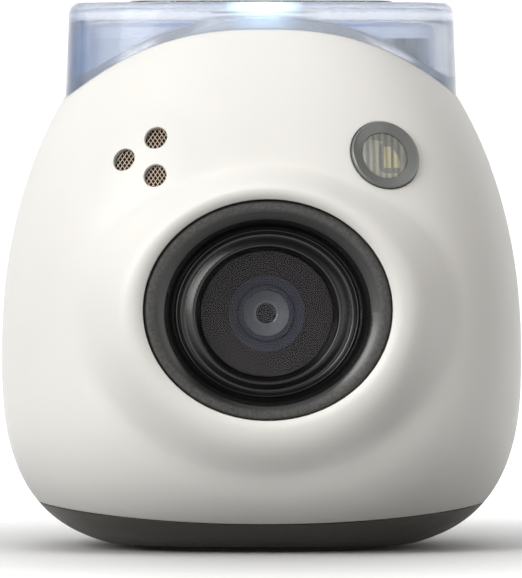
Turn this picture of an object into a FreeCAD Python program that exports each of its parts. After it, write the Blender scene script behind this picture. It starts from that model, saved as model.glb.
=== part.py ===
import FreeCAD, Part
import math
import os
import re
import Sketcher

# Palm-size digital camera, millimetres. +X right seen from the front, -Y front, +Z up.
# Origin: centre of the round foot on the standing surface.

os.makedirs("parts", exist_ok=True)
doc = FreeCAD.newDocument("PalmCamera")
sheet = doc.addObject("Spreadsheet::Sheet", "Sizes")

Vector = FreeCAD.Vector
Placement = FreeCAD.Placement
Rotation = FreeCAD.Rotation

SIZES = {
    # body shape
    "body_half_width": 21.15,
    "body_half_depth": 20.9,
    "body_power": 2.6,
    "waist_height": 15.7,
    "dome_rise": 31.2,
    "dome_power": 2.1,
    "belly_drop": 16.1,
    "belly_power": 2.7,
    "wall": 1.6,
    "seam_gap": 0.03,
    "parting_radius": 125.0,
    "parting_low": 2.42,
    "parting_gap": 0.06,
    # lens opening in the front shell
    "lens_height": 19.3,
    "bezel_half_width": 9.88,
    "bezel_half_height": 8.75,
    "bezel_rise": 0.36,
    "bezel_gap": 0.07,
    "bezel_seat_ratio": 0.54,
    "bezel_seat_flatness": 0.26,
    "front_crest": 21.46,
    "lip_drop": 0.32,
    "lip_crest_ratio": 1.085,
    "lip_tail_ratio": 1.33,
    "lip_side_ratio": 1.55,
    "lip_clear_height": 0.85,
    # shutter opening in the rear shell
    "shutter_height": 19.6,
    "shutter_bore": 11.9,
    "rear_crest": 20.2,
    "rear_crest_ratio": 1.1,
    "rear_drop": 0.4,
    "rear_tail_ratio": 1.45,
    # base
    "base_bottom": 0.4,
    "base_floor": 2.2,
    "tongue_top": 5.0,
    "tongue_inset": 1.72,
    "tongue_wall": 0.8,
    "foot_radius": 10.4,
    "foot_recess": 1.0,
    "bush_radius": 4.4,
    "bush_flange": 5.0,
    "bush_top": 5.9,
    "bush_bore": 2.6,
    "port_offset": 6.9,
    "power_offset": 7.6,
    "power_radius": 1.6,
    "base_screw_across": 8.0,
    "base_screw_along": 4.2,
    "base_boss_radius": 1.7,
    "base_boss_top": 9.6,
    "base_board_low": 6.2,
    "board_thick": 0.8,
    # light-up top
    "cap_half_width": 16.06,
    "cap_half_depth": 11.67,
    "cap_draft": 0.04,
    "cap_power": 2.8,
    "cap_bottom": 33.0,
    "cap_top": 44.25,
    "cap_round": 0.95,
    "cap_wall": 1.5,
    "cap_roof": 1.5,
    "cap_seat": 0.8,
    "cap_gap": 0.1,
    "plate_half_width": 10.67,
    "plate_half_depth": 5.9,
    "camera_top": 44.4,
    "tray_top": 41.3,
    "shelf_low": 33.0,
    "shelf_high": 34.0,
    # flash and speaker
    "flash_x": 9.54,
    "flash_z": 32.0,
    "flash_hole": 2.95,
    "speaker_hole": 0.95,
    "speaker_wall": 0.35,
    "flash_core_x": 10.25,
    "flash_core_z": 31.75,
    "flash_board_front": 11.6,
    "speaker_x": -9.73,
    "speaker_z": 31.77,
    # inner frame and boards
    "frame_front": 2.6,
    "frame_back": 3.8,
    "boss_radius": 1.9,
    "boss_upper_x": 15.6,
    "boss_upper_z": 24.5,
    "boss_lower_x": 15.2,
    "boss_lower_z": 11.2,
    "main_half_width": 12.8,
    "main_front": 1.0,
    "main_low": 10.6,
    "main_high": 31.6,
    # shutter button
    "button_radius": 11.0,
    "button_face": 21.5,
    "press_travel": 0.8,
    "power_travel": 0.5,
}

for row, (name, size) in enumerate(SIZES.items(), start=1):
    sheet.set(f"A{row}", name)
    sheet.set(f"B{row}", str(size))
    sheet.setAlias(f"B{row}", name)
doc.recompute()

NODES = {}
FORWARD = Rotation(Vector(1, 0, 0), 90)
BACKWARD = Rotation(Vector(1, 0, 0), -90)
UPRIGHT = Rotation()


def val(name):
    return float(sheet.get(name))


def cell(formula):
    """Expression text in which every size name points at the sheet."""
    return re.sub(r"[a-z]+(_[a-z]+)+|wall", lambda hit: "Sizes." + hit.group(), str(formula))


def bind(obj, **formulas):
    for prop, formula in formulas.items():
        obj.setExpression(prop.replace("__", "."), cell(formula))
    return obj


def place(obj, spot, turn=UPRIGHT):
    obj.Placement = Placement(Vector(), turn)
    return bind(obj, Placement__Base__x=spot[0], Placement__Base__y=spot[1], Placement__Base__z=spot[2])


def block(name, x, y, z):
    """Box between a low and a high station on every axis."""
    box = doc.addObject("Part::Box", name)
    spans = {"Length": x, "Width": y, "Height": z}
    for prop, (low, high) in spans.items():
        box.setExpression(prop, cell(f"({high}) - ({low})"))
    return place(box, (x[0], y[0], z[0]))


def rod(name, radius, spot, length, turn=UPRIGHT):
    """Cylinder from a spot along its turned axis."""
    bar = bind(doc.addObject("Part::Cylinder", name), Radius=radius, Height=length)
    return place(bar, spot, turn)


def seated_rod(name, radius, seat, low, high):
    """Cylinder between two heights on a tilted seat."""
    bar = bind(doc.addObject("Part::Cylinder", name), Radius=radius, Height=f"({high}) - ({low})")
    bar.Placement = seat.multiply(Placement(Vector(0, 0, low), UPRIGHT))
    return bar


def joined(name, pieces):
    fused = doc.addObject("Part::MultiFuse", name)
    fused.Shapes = pieces
    return fused


def overlap(name, pieces):
    shared = doc.addObject("Part::MultiCommon", name)
    shared.Shapes = pieces
    return shared


def cut(name, base, tools):
    """Base less every tool."""
    result = doc.addObject("Part::Cut", name)
    result.Base = base
    result.Tool = tools[0] if len(tools) == 1 else joined(name + "Tools", tools)
    return result


def group(name, pieces):
    bundle = doc.addObject("Part::Compound", name)
    bundle.Links = pieces
    return bundle


def formed(name, shape, placement=None):
    feature = doc.addObject("Part::Feature", name)
    feature.Shape = shape
    if placement is not None:
        feature.Placement = placement
    return feature


def node(name, obj):
    obj.Label = name
    NODES[name] = obj
    return obj


def sketched(body, name, plane, corners):
    """Closed outline on an origin plane, every corner bound to the sheet."""
    sketch = body.newObject("Sketcher::SketchObject", name)
    origin = [f for f in body.Origin.OriginFeatures if f.Role == plane][0]
    sketch.AttachmentSupport = [(origin, "")]
    sketch.MapMode = "FlatFace"
    spots = [Vector(3 + math.cos(i), 3 + math.sin(i), 0) for i in range(len(corners))]
    for index, spot in enumerate(spots):
        sketch.addGeometry(Part.LineSegment(spot, spots[(index + 1) % len(spots)]), False)
    for index in range(len(corners)):
        sketch.addConstraint(Sketcher.Constraint("Coincident", index, 2, (index + 1) % len(corners), 1))
    for index, corner in enumerate(corners):
        for kind, formula in zip(("DistanceX", "DistanceY"), corner):
            number = sketch.addConstraint(Sketcher.Constraint(kind, -1, 1, index, 1, 1.0))
            sketch.setExpression(f"Constraints[{number}]", cell(formula))
    return sketch


def turned(name, corners, spot, turn=UPRIGHT):
    """Body of revolution: corners are radius and height along its own axis."""
    body = doc.addObject("PartDesign::Body", name)
    sketch = sketched(body, name + "Profile", "XZ_Plane", corners)
    spin = body.newObject("PartDesign::Revolution", name + "Spin")
    spin.Profile = sketch
    spin.ReferenceAxis = (sketch, ["V_Axis"])
    spin.Angle = 360
    body.Tip = spin
    if isinstance(spot, Placement):
        body.Placement = spot
    else:
        place(body, spot, turn)
    return body


def plate(name, corners, length, spot, turn=UPRIGHT):
    """Flat body: outline corners padded along its own Z."""
    body = doc.addObject("PartDesign::Body", name)
    sketch = sketched(body, name + "Outline", "XY_Plane", corners)
    pad = body.newObject("PartDesign::Pad", name + "Pad")
    pad.Profile = sketch
    pad.setExpression("Length", cell(length))
    body.Tip = pad
    place(body, spot, turn)
    return body


# Smooth surfaces through closed rings of points

RING_POINTS = 96
TURN = [2 * math.pi * i / RING_POINTS for i in range(RING_POINTS)]


def ring(half_x, half_y, power, height):
    """Superellipse at a height."""
    points = []
    for angle in TURN:
        across, along = math.cos(angle), math.sin(angle)
        reach = ((abs(across) / half_x) ** power + (abs(along) / half_y) ** power) ** (-1 / power)
        points.append(Vector(reach * across, reach * along, height))
    return points


def skin(rings):
    """Smooth periodic face through the rings in order."""
    stations = [i / RING_POINTS for i in range(RING_POINTS + 1)]
    hoops = []
    for points in rings:
        hoop = Part.BSplineCurve()
        hoop.interpolate(Points=points, PeriodicFlag=True, Parameters=stations)
        hoops.append(hoop)
    hoop_poles = [hoop.getPoles() for hoop in hoops]
    if len(rings) == 2:
        columns = [list(pair) for pair in zip(*hoop_poles)]
        knots, repeats, degree = [0.0, 1.0], [2, 2], 1
    else:
        reach = [0.0]
        for before, after in zip(rings, rings[1:]):
            step = sum(a.distanceToPoint(b) for a, b in zip(before, after)) / RING_POINTS
            reach.append(reach[-1] + step)
        reach = [value / reach[-1] for value in reach]
        columns = []
        for points in zip(*hoop_poles):
            column = Part.BSplineCurve()
            column.interpolate(Points=list(points), Parameters=reach)
            columns.append(column.getPoles())
        knots, repeats, degree = column.getKnots(), column.getMultiplicities(), column.Degree
    surface = Part.BSplineSurface()
    surface.buildFromPolesMultsKnots(
        columns,
        hoops[0].getMultiplicities(),
        repeats,
        hoops[0].getKnots(),
        knots,
        True,
        False,
        3,
        degree,
    )
    return surface.toShape()


def flat_hoop(points):
    stations = [i / RING_POINTS for i in range(RING_POINTS + 1)]
    hoop = Part.BSplineCurve()
    hoop.interpolate(Points=points, PeriodicFlag=True, Parameters=stations)
    return Part.Face(Part.Wire([hoop.toShape()]))


def capped(stretches):
    """Solid of smooth stretches, closed by a flat face at each end."""
    faces = [skin(rings) for rings in stretches]
    faces.append(flat_hoop(stretches[0][0]))
    faces.append(flat_hoop(stretches[-1][-1]))
    return sewn(faces)


def closed(stretches):
    """Ring-shaped solid: the last stretch ends where the first begins."""
    return sewn([skin(rings) for rings in stretches])


def sewn(faces):
    shell = Part.makeCompound(faces)
    shell.sewShape()
    solid = Part.Solid(Part.Shell(shell.Faces))
    if solid.Volume < 0:
        solid.reverse()
    return solid


# Outer form of the body


def body_reach(z):
    """Half width of the body at a height."""
    rise = z - val("waist_height")
    if rise >= 0:
        left = 1 - (rise / val("dome_rise")) ** val("dome_power")
        return val("body_half_width") * math.sqrt(max(left, 0.0))
    left = 1 - (-rise / val("belly_drop")) ** val("belly_power")
    return val("body_half_width") * max(left, 0.0) ** 0.25


DEPTH_RATIO = val("body_half_depth") / val("body_half_width")
BODY_POWER = val("body_power")


def body_depth(x, z):
    """Distance of the body surface from the middle plane."""
    reach = body_reach(z)
    return DEPTH_RATIO * reach * (1 - (abs(x) / reach) ** BODY_POWER) ** (1 / BODY_POWER)


def on_body(centre, direction):
    """Point where a ray from the centre leaves the body."""
    near, far = 0.0, 40.0
    for _ in range(44):
        middle = (near + far) / 2
        spot = centre + direction * middle
        spread = (abs(spot.x) ** BODY_POWER + abs(spot.y / DEPTH_RATIO) ** BODY_POWER) ** (1 / BODY_POWER)
        if spread < body_reach(spot.z):
            near = middle
        else:
            far = middle
    return centre + direction * near


def half_body(side, hub, half_x, half_z, crest, drop, crest_ratio, tail_ratio, side_ratio):
    """Half of the body with a soft raised lip round an opening; side is -1 front, 1 rear."""
    lip = []
    for step in range(14):
        points = []
        for angle in TURN:
            upward = max(math.sin(angle), 0.0) / val("lip_clear_height")
            tail = tail_ratio + (side_ratio - tail_ratio) * max(0.0, 1 - upward**2)
            if step <= 4:
                ratio = 1 + (crest_ratio - 1) * step / 4
            else:
                ratio = crest_ratio + (tail - crest_ratio) * (step - 4) / 9
            x = half_x * ratio * math.cos(angle)
            z = hub + half_z * ratio * math.sin(angle)
            if step <= 4:
                depth = crest - drop * (1 - step / 4) ** 2
            else:
                along = (step - 4) / 9
                blend = along * along * (3 - 2 * along)
                depth = crest * (1 - blend) + body_depth(x, z) * blend
            points.append(Vector(x, side * depth, z))
        lip.append(points)
    centre = Vector(0, 0, val("lens_height"))
    outer = []
    for step in range(1, 17):
        share = step / 16
        points = []
        for angle, start in zip(TURN, lip[-1]):
            first = (start - centre).normalize()
            last = Vector(math.cos(angle), 0, math.sin(angle))
            swing = first.getAngle(last)
            direction = first * math.sin((1 - share) * swing) + last * math.sin(share * swing)
            spot = on_body(centre, direction.normalize())
            points.append(Vector(spot.x, 0 if step == 16 else spot.y, spot.z))
        outer.append(points)
    return capped([lip + outer])


def core(inset, low, high):
    """The body shrunk by an inset, between two heights."""
    count = 16
    rings = []
    for step in range(count + 1):
        z = low + (high - low) * step / count
        reach = body_reach(z)
        rings.append(ring(reach - inset, DEPTH_RATIO * reach - inset, BODY_POWER, z))
    return capped([rings])


def seat_on_body(side, x, z):
    """Placement on the body surface with its Z along the outward normal."""
    step = 0.01
    here = Vector(x, side * body_depth(x, z), z)
    right = Vector(x + step, side * body_depth(x + step, z), z) - here
    above = Vector(x, side * body_depth(x, z + step), z + step) - here
    normal = right.cross(above).normalize()
    if normal.y * side < 0:
        normal = normal * -1
    return Placement(here, Rotation(Vector(1, 0, 0), Vector(0, 0, 1), normal, "ZXY"))


BEZEL_HUB = val("lens_height") + val("bezel_rise")
front_half = formed(
    "FrontHalf",
    half_body(
        -1,
        BEZEL_HUB,
        val("bezel_half_width") + val("bezel_gap"),
        val("bezel_half_height") + val("bezel_gap"),
        val("front_crest"),
        val("lip_drop"),
        val("lip_crest_ratio"),
        val("lip_tail_ratio"),
        val("lip_side_ratio"),
    ),
)
rear_half = formed(
    "RearHalf",
    half_body(
        1,
        val("shutter_height"),
        val("shutter_bore"),
        val("shutter_bore"),
        val("rear_crest"),
        val("rear_drop"),
        val("rear_crest_ratio"),
        val("rear_tail_ratio"),
        val("rear_tail_ratio"),
    ),
)
cavity = formed("Cavity", core(val("wall"), 1.0, 44.0))


# Tilted seats of the flash and of the loudspeaker
flash_seat = seat_on_body(-1, val("flash_x"), val("flash_z"))
speaker_seat = seat_on_body(-1, val("speaker_x"), val("speaker_z"))
SPEAKER_HOLES = [(-8.85, 33.35), (-11.4, 31.6), (-8.93, 30.35)]


# Light-up top outline


def cap_rings(grow, heights):
    """Outlines of the tapered top at the given heights."""
    rings = []
    for z in heights:
        taper = val("cap_draft") * (z - val("cap_bottom"))
        half_x = val("cap_half_width") + grow - taper
        half_y = val("cap_half_depth") + grow - taper
        rings.append(ring(half_x, half_y, val("cap_power"), z))
    return rings


def rounded_prism(grow, low, high, radius):
    """Tapered prism with a rounded upper edge."""
    shoulder = high - radius
    side = cap_rings(grow, [low, shoulder])
    crown = []
    for step in range(7):
        swing = math.pi / 2 * step / 6
        z = shoulder + radius * math.sin(swing)
        inward = radius * (1 - math.cos(swing))
        crown.append(cap_rings(grow - inward + val("cap_draft") * (z - shoulder), [z])[0])
    return capped([side, crown])


def straight_prism(grow, low, high):
    return capped([cap_rings(grow, [low, high])])


cap_low, cap_high = val("cap_bottom"), val("cap_top")
cap_outside = formed("CapOutside", rounded_prism(0, cap_low, cap_high, val("cap_round")))
cap_inside = formed(
    "CapInside", rounded_prism(-val("cap_wall"), cap_low - 1, cap_high - val("cap_roof"), 0.6)
)
cap_core = formed("CapCore", straight_prism(-val("cap_wall") - 0.1, cap_low - 1, 47))
cap_pocket = formed("CapPocket", straight_prism(val("cap_gap"), cap_low, 47))
cap_opening = formed("CapOpening", straight_prism(-val("cap_wall") - 0.3, 30, 47))
seat_dome = formed("SeatDome", core(val("cap_seat"), 8, 45))

# Parts shared by both shells
parting = rod(
    "Parting",
    "parting_radius",
    ("0", "-30", "parting_low + parting_radius"),
    60,
    BACKWARD,
)
pocket_ring = cut("PocketRing", cap_pocket, [seat_dome])


def shell(name, side, half, openings, bosses):
    """One half of the white case."""
    hollow = cut(name + "Hollow", half, [cavity])
    inner = overlap(name + "Bosses", [joined(name + "BossRods", bosses), half])
    whole = joined(name + "Whole", [hollow, inner])
    kept = overlap(name + "Kept", [whole, parting])
    if side < 0:
        trim = block(name + "Trim", ("-30", "30"), ("-seam_gap", "5"), ("-2", "50"))
    else:
        trim = block(name + "Trim", ("-30", "30"), ("-5", "seam_gap"), ("-2", "50"))
    return node(name, cut(name, kept, [pocket_ring, cap_opening, trim] + openings))


# Front shell
frame_bosses = []
frame_pilots = []
for level in ("upper", "lower"):
    for hand, sign in (("Left", "-"), ("Right", "")):
        tag = level.capitalize() + hand
        spot = (f"{sign}boss_{level}_x", "frame_front", f"boss_{level}_z")
        frame_bosses.append(rod("FrameBoss" + tag, "boss_radius", spot, 20, FORWARD))
        frame_pilots.append(rod("FramePilot" + tag, 0.62, spot, 5, FORWARD))
base_bosses = {-1: [], 1: []}
base_pilots = {-1: [], 1: []}
for side in (-1, 1):
    for hand in (-1, 1):
        tag = f"{'Front' if side < 0 else 'Rear'}{'Left' if hand < 0 else 'Right'}"
        x, y = f"{hand} * base_screw_across", f"{side} * base_screw_along"
        foot_of_boss = (x, y, "base_floor + 0.05")
        base_bosses[side].append(
            rod("BaseBoss" + tag, "base_boss_radius", foot_of_boss, "base_boss_top - base_floor")
        )
        low = "-20" if hand < 0 else "base_screw_across"
        high = "-base_screw_across" if hand < 0 else "20"
        web = (f"{side} * base_screw_along - 0.6", f"{side} * base_screw_along + 0.6")
        base_bosses[side].append(
            block("BaseWeb" + tag, (low, high), web, ("tongue_top + 0.3", "base_boss_top"))
        )
        base_pilots[side].append(rod("BasePilot" + tag, 0.62, (x, y, "1"), 7))

bezel_bore = formed(
    "BezelBore",
    capped(
        [
            [
                ring(
                    val("bezel_half_width") + val("bezel_gap") + 0.02,
                    val("bezel_half_height") + val("bezel_gap") + 0.02,
                    2,
                    height,
                )
                for height in (12, 24)
            ]
        ]
    ),
    Placement(Vector(0, 0, BEZEL_HUB), FORWARD),
)
flash_bore = seated_rod("FlashBore", "flash_hole", flash_seat, -8, 4)
speaker_bores = []
for index, (x, z) in enumerate(SPEAKER_HOLES):
    seat = seat_on_body(-1, x, z)
    speaker_bores.append(seated_rod(f"SpeakerBore{index}", "speaker_hole", seat, -4, 2))
thin_core = formed("ThinCore", core(val("speaker_wall"), 20, 42))
speaker_recess = overlap("SpeakerRecess", [thin_core, seated_rod("RecessRod", 4.6, speaker_seat, -7, 2)])
flash_relief = seated_rod("FlashRelief", 4.0, flash_seat, -8, -1.9)
shell(
    "front_shell",
    -1,
    front_half,
    [bezel_bore, flash_bore, flash_relief, speaker_recess] + speaker_bores + frame_pilots + base_pilots[-1],
    frame_bosses + base_bosses[-1],
)

# Rear shell
shutter_spot = ("0", "0", "shutter_height")
shutter_bore = rod("ShutterBore", "shutter_bore + 0.02", ("0", "12", "shutter_height"), 12, BACKWARD)
board_bosses = []
board_pilots = []
for index in range(3):
    swing = math.radians(90 + 120 * index)
    x = f"{13.6 * math.cos(swing):.3f}"
    z = f"shutter_height + {13.6 * math.sin(swing):.3f}"
    board_bosses.append(rod(f"ShutterBoss{index}", 1.5, (x, "13.0", z), 10, BACKWARD))
    board_pilots.append(rod(f"ShutterPilot{index}", 0.55, (x, "12", z), 3.6, BACKWARD))
shell(
    "rear_shell",
    1,
    rear_half,
    [shutter_bore] + board_pilots + base_pilots[1],
    base_bosses[1] + board_bosses,
)

# Dark base, foot and what opens downward
below = block("Below", ("-30", "30"), ("-30", "30"), ("-5", "base_bottom"))
parting_low = rod(
    "PartingLow",
    "parting_radius + parting_gap",
    ("0", "-30", "parting_low + parting_radius"),
    60,
    BACKWARD,
)
base_form = cut("BaseForm", joined("BodyForm", [front_half, rear_half]), [parting_low, below])
base_cavity = overlap(
    "BaseCavity",
    [cavity, block("AboveFloor", ("-30", "30"), ("-30", "30"), ("base_floor", "30"))],
)
tongue = cut(
    "Tongue",
    formed("TongueOutside", core(val("tongue_inset"), val("base_floor") - 0.6, val("tongue_top"))),
    [formed("TongueInside", core(val("tongue_inset") + val("tongue_wall"), 1.0, 8.0))],
)
base_solid = joined("BaseSolid", [cut("BaseDish", base_form, [base_cavity]), tongue])


def stadium_rod(name, half_long, radius, centre_y, low, high):
    """Upright slot with round ends."""
    ends = []
    for hand in (-1, 1):
        spot = (f"{hand} * ({half_long} - {radius})", centre_y, low)
        ends.append(rod(f"{name}End{hand + 1}", radius, spot, f"({high}) - ({low})"))
    middle = block(
        name + "Middle",
        (f"-({half_long} - {radius})", f"{half_long} - {radius}"),
        (f"{centre_y} - {radius}", f"{centre_y} + {radius}"),
        (low, high),
    )
    return joined(name, ends + [middle])


base_screw_spots = []
for along in (-1, 1):
    for across in (-1, 1):
        base_screw_spots.append((f"{across} * base_screw_across", f"{along} * base_screw_along"))
screw_ways = []
for index, (x, y) in enumerate(base_screw_spots):
    screw_ways.append(rod(f"BaseScrewWay{index}", 0.95, (x, y, "0"), 4))
    screw_ways.append(rod(f"BaseScrewSink{index}", 1.5, (x, y, "0"), "foot_recess + 0.75"))
node(
    "base_cover",
    cut(
        "BaseCover",
        base_solid,
        [
            rod("FootRecess", "foot_radius + 0.08", ("0", "0", "0"), "foot_recess"),
            rod("BushHole", "bush_radius + 0.02", ("0", "0", "0"), 4),
            stadium_rod("PortHole", "4.75", "1.87", "port_offset", "0", "4"),
            block(
                "CardHole",
                ("-5.7", "5.7"),
                ("-port_offset - 0.75", "-port_offset + 0.75"),
                ("0", "4"),
            ),
            rod("PowerHole", "power_radius + 0.1", ("power_offset", "0", "0"), 4),
        ]
        + screw_ways,
    ),
)
node(
    "foot_plate",
    cut(
        "FootPlate",
        rod("FootDisc", "foot_radius", ("0", "0", "0"), "foot_recess - 0.05"),
        [
            rod("FootBushHole", "bush_radius + 0.1", ("0", "0", "-1"), 4),
            stadium_rod("FootPortHole", "4.85", "1.95", "port_offset", "-1", "4"),
            block(
                "FootCardHole",
                ("-5.9", "5.9"),
                ("-port_offset - 0.9", "-port_offset + 0.9"),
                ("-1", "4"),
            ),
            rod("FootPowerHole", "power_radius + 0.3", ("power_offset", "0", "-1"), 4),
        ],
    ),
)
node(
    "tripod_bush",
    turned(
        "TripodBush",
        [
            ("bush_bore + 0.5", "0.1"),
            ("bush_radius", "0.1"),
            ("bush_radius", "base_floor + 0.03"),
            ("bush_flange", "base_floor + 0.03"),
            ("bush_flange", "base_floor + 1.0"),
            ("bush_radius", "base_floor + 1.2"),
            ("bush_radius", "bush_top"),
            ("0", "bush_top"),
            ("0", "bush_top - 0.7"),
            ("bush_bore", "bush_top - 0.7"),
            ("bush_bore", "0.6"),
        ],
        ("0", "0", "0"),
    ),
)
port_tube = cut(
    "PortTube",
    stadium_rod("PortOutside", "4.47", "1.58", "port_offset", "0.5", "base_board_low - 0.02"),
    [stadium_rod("PortInside", "4.17", "1.28", "port_offset", "-1", "base_board_low - 1.2")],
)
node("usb_c_shell", port_tube)
node(
    "usb_c_tongue",
    block(
        "UsbTongue",
        ("-3.35", "3.35"),
        ("port_offset - 0.35", "port_offset + 0.35"),
        ("1.1", "base_board_low - 1.22"),
    ),
)
card_body = block(
    "CardBody",
    ("-6.9", "6.9"),
    ("-port_offset - 0.95", "-port_offset + 0.95"),
    ("base_floor + 0.1", "13.2"),
)
node(
    "card_socket",
    cut(
        "CardSocket",
        card_body,
        [
            block(
                "CardSlot",
                ("-5.6", "5.6"),
                ("-port_offset - 0.5", "-port_offset + 0.5"),
                ("0", "12.2"),
            ),
            block(
                "CardWindow",
                ("-4.4", "4.4"),
                ("-port_offset - 2", "-port_offset - 0.2"),
                ("7.2", "11.4"),
            ),
        ],
    ),
)
node(
    "card_board",
    block(
        "CardBoard",
        ("-6.2", "6.2"),
        ("-port_offset + 1.0", "-port_offset + 1.6"),
        ("base_floor + 0.3", "13.4"),
    ),
)
node(
    "power_button",
    turned(
        "PowerButton",
        [
            ("0", "0.25"),
            ("power_radius - 0.25", "0.25"),
            ("power_radius", "0.5"),
            ("power_radius", "base_floor + 0.05"),
            ("power_radius + 0.45", "base_floor + 0.05"),
            ("power_radius + 0.45", "base_floor + 0.75"),
            ("power_radius - 0.5", "base_floor + 0.75"),
            ("power_radius - 0.5", "4.1"),
            ("0", "4.1"),
        ],
        ("power_offset", "0", "0"),
    ),
)
power_case = block(
    "PowerSwitchCase",
    ("power_offset - 1.6", "power_offset + 1.6"),
    ("-1.5", "1.5"),
    ("5.2", "base_board_low"),
)
power_pin = rod("PowerSwitchPin", 0.7, ("power_offset", "0", "4.66"), 0.8)
node("power_switch", joined("PowerSwitch", [power_case, power_pin]))
node(
    "base_board",
    plate(
        "BaseBoard",
        [
            ("-6.0", "-3.9"),
            ("6.0", "-3.9"),
            ("6.0", "-2.0"),
            ("power_offset + 2.2", "-2.0"),
            ("power_offset + 2.2", "2.0"),
            ("6.0", "2.0"),
            ("6.0", "port_offset + 3"),
            ("-6.0", "port_offset + 3"),
        ],
        "board_thick",
        ("0", "0", "base_board_low + 0.02"),
    ),
)


def screw_profile(head, head_high, shank, tip):
    """Pan head with a shallow recess, then a plain shank."""
    return [
        ("0", "0.45"),
        ("0.4", "0.2"),
        ("0.4", "0"),
        (f"{head}", "0"),
        (f"{head}", f"{head_high}"),
        (f"{shank}", f"{head_high}"),
        (f"{shank}", f"{tip} - 0.4"),
        ("0", f"{tip}"),
    ]


base_screws = []
for index, (x, y) in enumerate(base_screw_spots):
    base_screws.append(
        turned(
            f"BaseScrew{index}",
            screw_profile(1.35, 0.7, 0.7, 5.6),
            (x, y, "foot_recess + 0.03"),
        )
    )
node("base_screws", group("BaseScrews", base_screws))

# Lens stack along the lens axis; heights on these pieces are distances in front of the middle plane
lens_spot = ("0", "0", "lens_height")


def bezel_rings(outline):
    """Rings from (share of the outer half width, distance forward)."""
    seat = val("bezel_seat_ratio")
    rings = []
    for reach, forward in outline:
        outward = max(0.0, (reach - seat) / (1 - seat))
        flatness = val("bezel_seat_flatness") * (1 - outward) + BEZEL_FLATNESS * outward
        half_x = val("bezel_half_width") * reach
        lift = val("bezel_rise") * outward**2
        points = ring(half_x, half_x - flatness, 2, forward)
        rings.append([Vector(p.x, p.y + lift, p.z) for p in points])
    return rings


# rim, bowl, ridge, groove, step ring and glass seat, from the outside inward
BEZEL_FLATNESS = val("bezel_half_width") - val("bezel_half_height")
SEAT = val("bezel_seat_ratio")
RIM = [(1.0, 20.55), (0.995, 20.78), (0.985, 20.9), (0.965, 20.95), (0.93, 20.92), (0.9, 20.82)]
BOWL = [
    (0.9, 20.82),
    (0.885, 20.77),
    (0.87, 20.71),
    (0.855, 20.64),
    (0.84, 20.55),
    (0.825, 20.38),
    (0.81, 20.05),
    (0.795, 19.68),
    (0.78, 19.36),
    (0.765, 19.18),
    (0.752, 19.12),
]
RIDGE = [(0.752, 19.12), (0.745, 19.26), (0.735, 19.34), (0.725, 19.26), (0.716, 19.0)]
GROOVE = [(0.716, 19.0), (0.705, 18.78), (0.69, 18.68), (0.675, 18.68), (0.66, 18.73)]
STEP = [
    (0.66, 18.73),
    (0.645, 18.79),
    (0.625, 18.88),
    (0.607, 18.96),
    (0.592, 18.98),
    (0.578, 18.88),
    (0.565, 18.6),
]
bezel = closed(
    [
        bezel_rings(RIM),
        bezel_rings(BOWL),
        bezel_rings(RIDGE),
        bezel_rings(GROOVE),
        bezel_rings(STEP),
        bezel_rings([(0.565, 18.6), (SEAT, 17.88)]),
        bezel_rings([(SEAT, 17.88), (SEAT, 16.9)]),
        bezel_rings([(SEAT, 16.9), (0.8, 16.9)]),
        bezel_rings([(0.8, 16.9), (0.8, 16.2)]),
        bezel_rings([(0.8, 16.2), (1.0, 16.2)]),
        bezel_rings([(1.0, 16.2), (1.0, 20.55)]),
    ]
)
node("lens_bezel", formed("LensBezel", bezel, Placement(Vector(0, 0, val("lens_height")), FORWARD)))


def lens_ellipse(name, half_x, half_z, near, far):
    shape = capped([[ring(half_x, half_z, 2, far), ring(half_x, half_z, 2, near)]])
    return formed(name, shape, Placement(Vector(0, 0, val("lens_height")), FORWARD))


glass_disc = lens_ellipse("GlassDisc", 5.28, 5.02, 17.85, 17.15)
node("cover_glass", glass_disc)
mask_hole = rod("MaskHole", 3.04, ("0", "-16", "lens_height"), 3, FORWARD)
node("glass_mask", cut("GlassMask", lens_ellipse("MaskDisc", 5.26, 5.0, 17.12, 16.98), [mask_hole]))
node(
    "lens_barrel",
    turned(
        "LensBarrel",
        [
            ("2.45", "16.75"),
            ("3.3", "16.75"),
            ("3.5", "16.55"),
            ("3.5", "14.4"),
            ("3.9", "14.4"),
            ("3.9", "10.0"),
            ("3.2", "10.0"),
            ("3.2", "12.2"),
            ("1.1", "12.2"),
            ("1.1", "13.6"),
            ("1.95", "13.6"),
            ("1.95", "15.6"),
            ("2.3", "15.75"),
            ("2.3", "16.4"),
            ("2.45", "16.4"),
        ],
        lens_spot,
        FORWARD,
    ),
)
node(
    "lens_ring",
    turned(
        "LensRing",
        [
            ("0.82", "15.64"),
            ("1.9", "15.64"),
            ("1.9", "15.85"),
            ("2.22", "15.85"),
            ("2.22", "16.56"),
            ("2.16", "16.62"),
            ("1.8", "16.62"),
            ("1.0", "15.92"),
            ("0.94", "16.0"),
            ("0.84", "15.96"),
        ],
        lens_spot,
        FORWARD,
    ),
)


def lens_element(name, radius, low, high, front_curve, back_curve):
    """Glass lens between two spherical faces, heights forward along the axis."""
    rim = rod(name + "Rim", radius, ("0", f"-({low})", "lens_height"), f"({high}) - ({low})", FORWARD)
    front = bind(doc.addObject("Part::Sphere", name + "Front"), Radius=front_curve)
    place(front, ("0", f"-(({high}) - {front_curve})", "lens_height"))
    back = bind(doc.addObject("Part::Sphere", name + "Back"), Radius=back_curve)
    place(back, ("0", f"-(({low}) + {back_curve})", "lens_height"))
    return node(name, overlap(name + "Glass", [rim, front, back]))


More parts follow.
